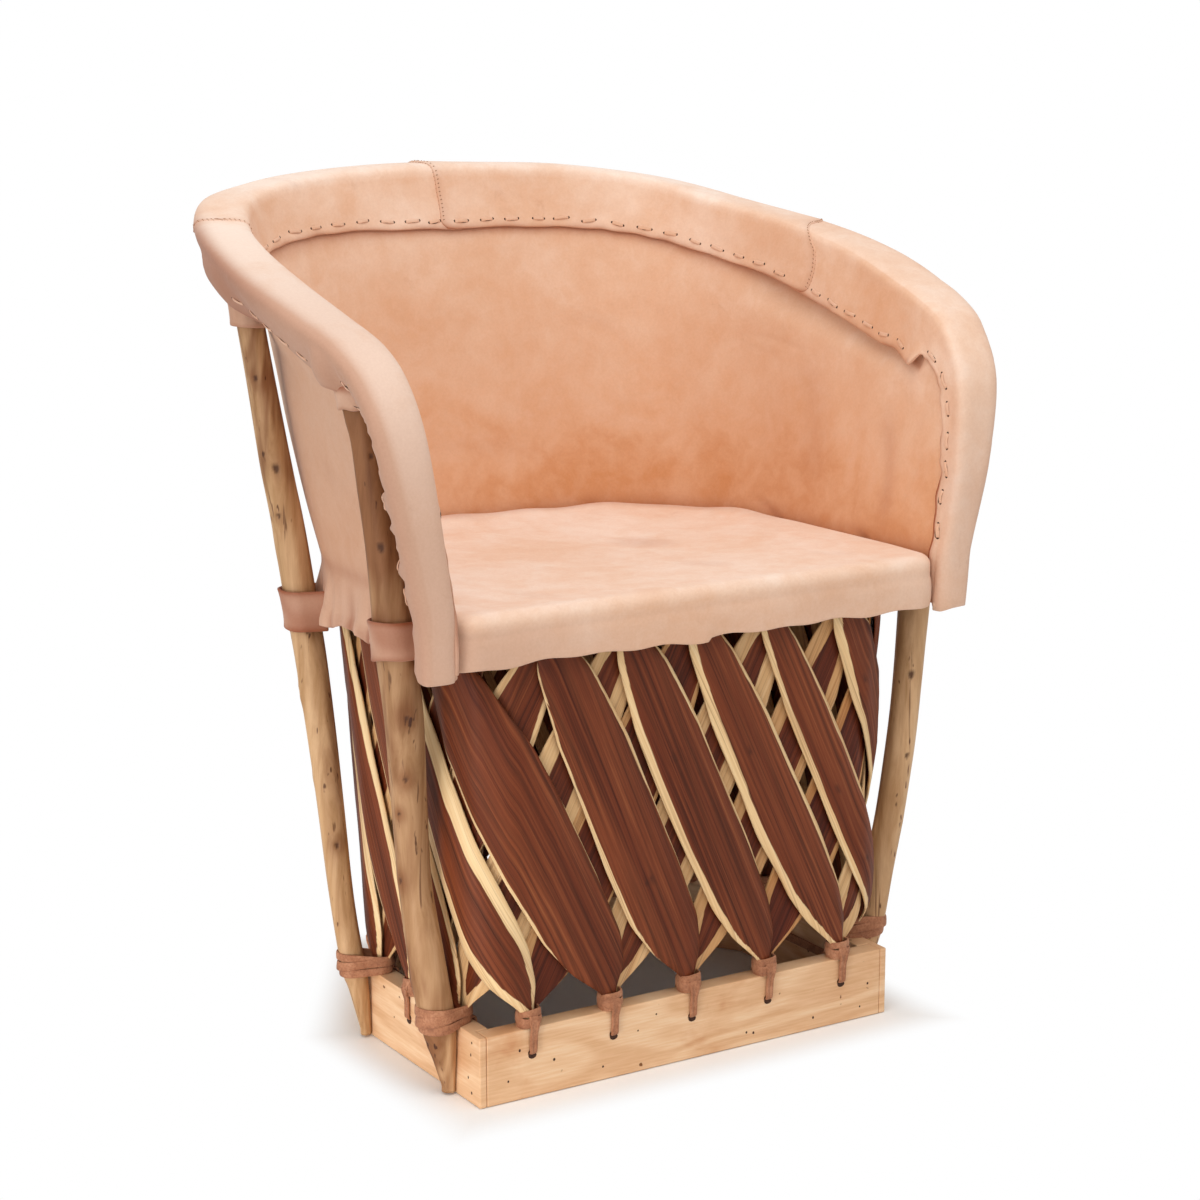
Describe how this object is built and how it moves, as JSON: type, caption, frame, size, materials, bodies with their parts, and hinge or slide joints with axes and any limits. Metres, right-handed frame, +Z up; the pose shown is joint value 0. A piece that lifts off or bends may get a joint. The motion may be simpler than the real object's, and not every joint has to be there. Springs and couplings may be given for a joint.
{
  "type": "barrel armchair",
  "caption": "Barrel armchair: low board base, lattice of crossed split slats, peeled branch posts, stretched leather seat and wraparound back",
  "frame": {"origin": "floor level, under the middle of the chair's plan", "axes": "+Z up, -Y the chair's front, +X the sitter's left"},
  "size_m": [0.708, 0.5462, 0.806],
  "materials": {
    "board_wood": "planed pale boards, satin",
    "branch_wood": "peeled branch, satin",
    "cedar_wood": "split reddish slats with paler edges, satin",
    "leather": "natural vegetable-tanned hide, satin",
    "thong_leather": "raw thong, matt"
  },
  "bodies": {
    "root": {"back_hide": "leather", "front_board": "board_wood", "front_left_post": "branch_wood", "front_left_strap": "thong_leather", "front_right_post": "branch_wood", "front_right_strap": "thong_leather", "inner_slat_01": "cedar_wood", "inner_slat_02": "cedar_wood", "inner_slat_03": "cedar_wood", "inner_slat_04": "cedar_wood", "inner_slat_05": "cedar_wood", "inner_slat_06": "cedar_wood", "inner_slat_07": "cedar_wood", "inner_slat_08": "cedar_wood", "inner_slat_09": "cedar_wood", "inner_slat_10": "cedar_wood", "inner_slat_11": "cedar_wood", "inner_slat_12": "cedar_wood", "inner_slat_13": "cedar_wood", "inner_slat_14": "cedar_wood", "inner_slat_15": "cedar_wood", "inner_slat_16": "cedar_wood", "inner_slat_17": "cedar_wood", "inner_slat_18": "cedar_wood", "left_rear_board": "board_wood", "left_rim_leather": "leather", "left_side_board": "board_wood", "outer_slat_01": "cedar_wood", "outer_slat_02": "cedar_wood", "outer_slat_03": "cedar_wood", "outer_slat_04": "cedar_wood", "outer_slat_05": "cedar_wood", "outer_slat_06": "cedar_wood", "outer_slat_07": "cedar_wood", "outer_slat_08": "cedar_wood", "outer_slat_09": "cedar_wood", "outer_slat_10": "cedar_wood", "outer_slat_11": "cedar_wood", "outer_slat_12": "cedar_wood", "outer_slat_13": "cedar_wood", "outer_slat_14": "cedar_wood", "outer_slat_15": "cedar_wood", "outer_slat_16": "cedar_wood", "outer_slat_17": "cedar_wood", "outer_slat_18": "cedar_wood", "rear_board": "board_wood", "rear_left_post": "branch_wood", "rear_left_strap": "thong_leather", "rear_middle_post": "branch_wood", "rear_middle_strap": "thong_leather", "rear_right_post": "branch_wood", "rear_right_strap": "thong_leather", "rear_rim_leather": "leather", "right_rear_board": "board_wood", "right_rim_leather": "leather", "right_side_board": "board_wood", "rim_rail": "branch_wood", "seat_hide": "leather", "seat_hoop": "branch_wood", "slat_lashing": "thong_leather"}
  },
  "joints": []
}
